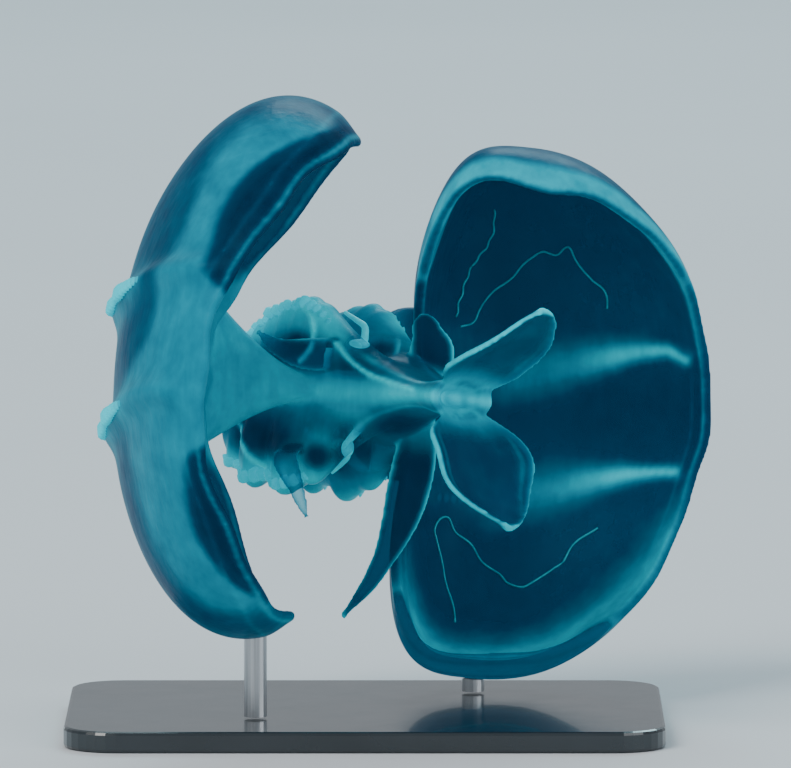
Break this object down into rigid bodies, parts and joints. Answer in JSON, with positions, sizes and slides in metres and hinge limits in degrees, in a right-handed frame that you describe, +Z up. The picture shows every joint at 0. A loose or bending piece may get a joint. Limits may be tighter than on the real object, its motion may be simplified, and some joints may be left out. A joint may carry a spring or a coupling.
{
  "type": "lobate comb jelly model on a stand",
  "caption": "Life-size comb jelly with two deep bowl lobes spread apart, a ridged body with comb rows, curled auricles and cupped lips, held by short rods on a flat base.",
  "frame": {"origin": "on the underside of the stand's base, below the middle of the whole model's bounding box", "axes": "+Z up, -Y toward the viewer who sees the left lobe edge-on and the right lobe from inside, +X to that viewer's right"},
  "size_m": [0.0914, 0.0862, 0.0902],
  "materials": {
    "jelly": "wet, smooth, translucent blue-green jelly, clearer in the thin sheets and brighter in the thick bands",
    "comb": "pale cyan, finely ribbed comb plates with a wet shine",
    "stand_plate": "plain dark acrylic sheet, polished, softly bevelled",
    "stand_rod": "plain brushed rod"
  },
  "bodies": {
    "root": {"body_trunk": "jelly", "apical_organ": "jelly", "lobe_left": "jelly", "lobe_right": "jelly", "lip_upper": "jelly", "lip_lower": "jelly", "auricle_left_upper": "jelly", "auricle_left_lower": "jelly", "auricle_right_upper": "jelly", "auricle_right_lower": "jelly", "tentacle_bulb_upper": "jelly", "tentacle_bulb_lower": "jelly", "comb_row_lobe_left_upper": "comb", "comb_row_lobe_left_lower": "comb", "comb_row_lobe_right_upper": "comb", "comb_row_lobe_right_lower": "comb", "comb_row_body_left_upper": "comb", "comb_row_body_left_lower": "comb", "comb_row_body_right_upper": "comb", "comb_row_body_right_lower": "comb", "stand_base": "stand_plate", "stand_rod_left": "stand_rod", "stand_rod_right": "stand_rod"}
  },
  "joints": []
}
